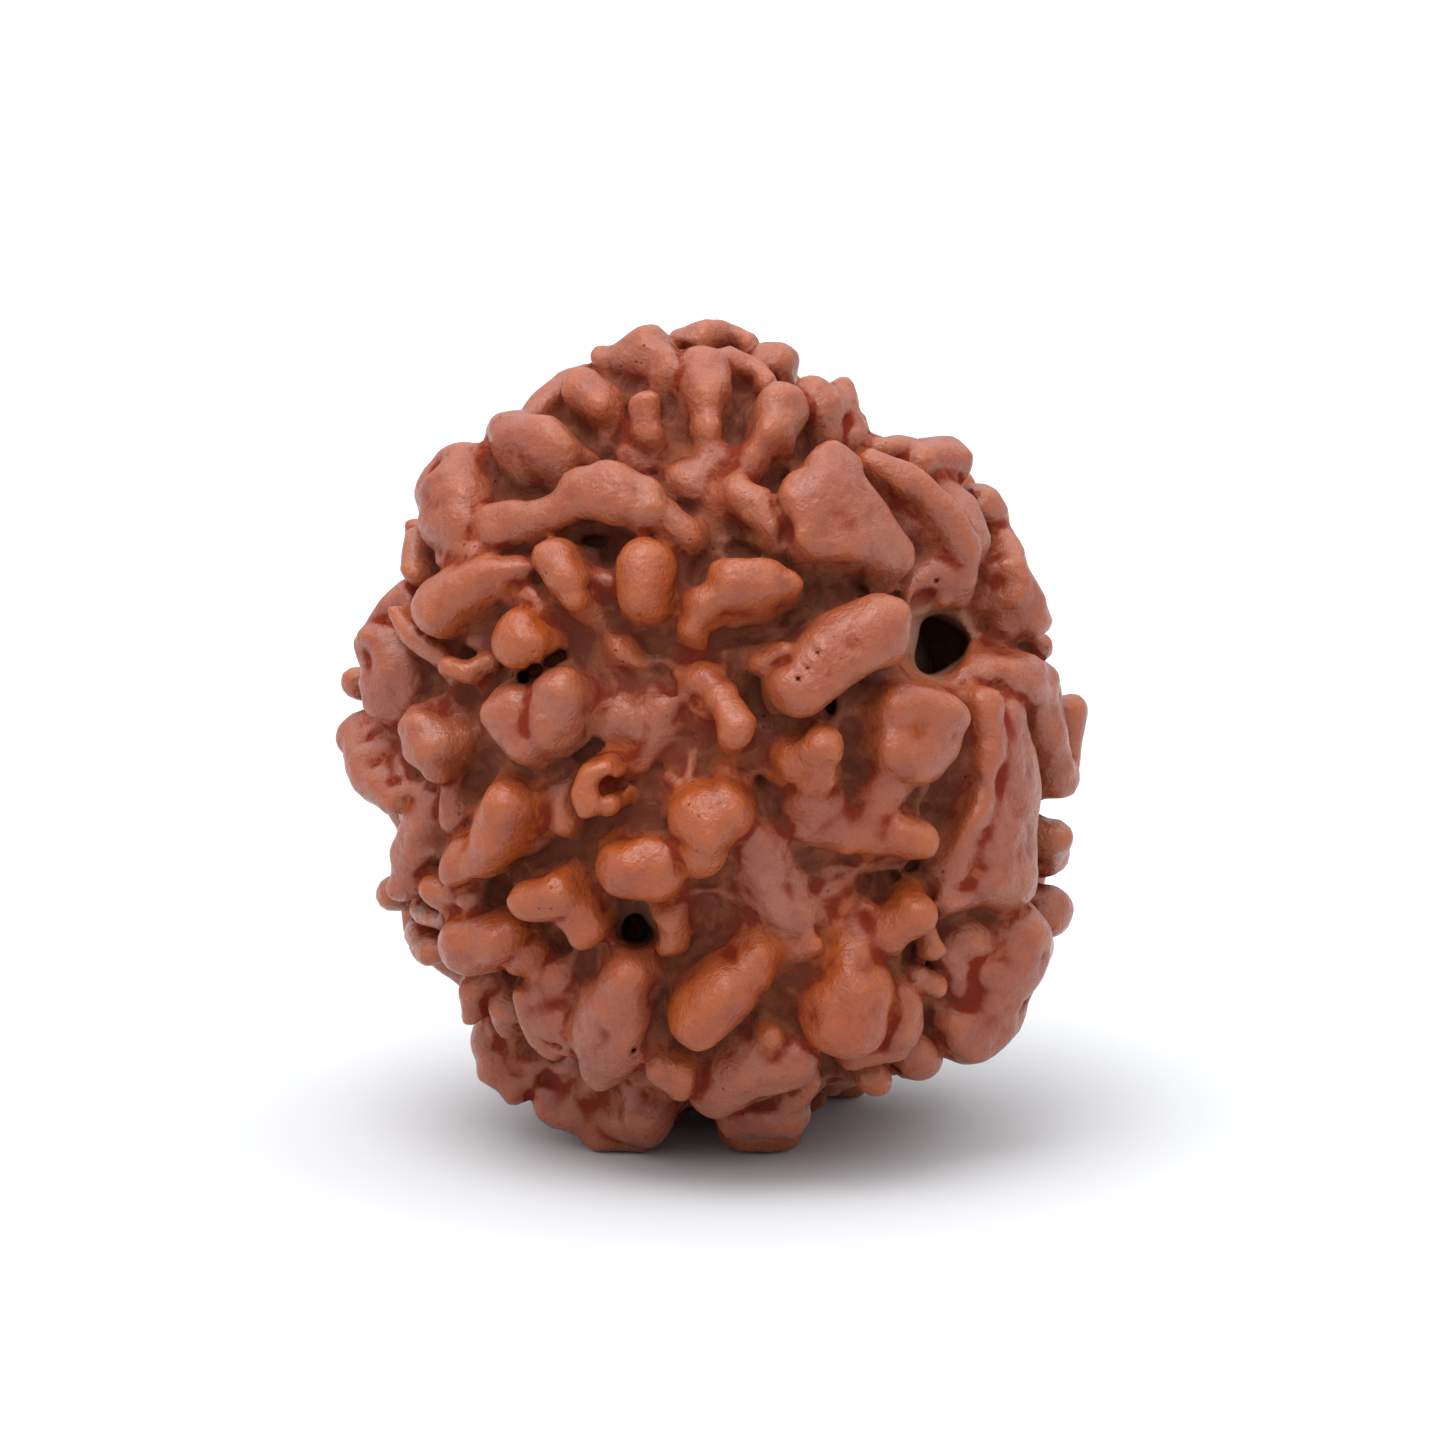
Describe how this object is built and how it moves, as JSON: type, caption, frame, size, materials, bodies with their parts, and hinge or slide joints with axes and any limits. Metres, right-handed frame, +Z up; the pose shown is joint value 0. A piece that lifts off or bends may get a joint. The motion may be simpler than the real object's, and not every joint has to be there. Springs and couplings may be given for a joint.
{
  "type": "rudraksha seed",
  "caption": "Egg-shaped rudraksha seed stone, covered all over with blunt fused knobs, plates and ridges, resting on small flat spots of its underside.",
  "frame": {"origin": "on the surface that the seed rests on, under the middle of its outline", "axes": "+Z up along the seed's long axis, the side of the picture faces -Y, +X to its right"},
  "size_m": [0.0256, 0.0258, 0.028],
  "materials": {
    "seed_stone": "satin, slightly waxy, reddish brown"
  },
  "bodies": {
    "root": {"seed": "seed_stone"}
  },
  "joints": []
}
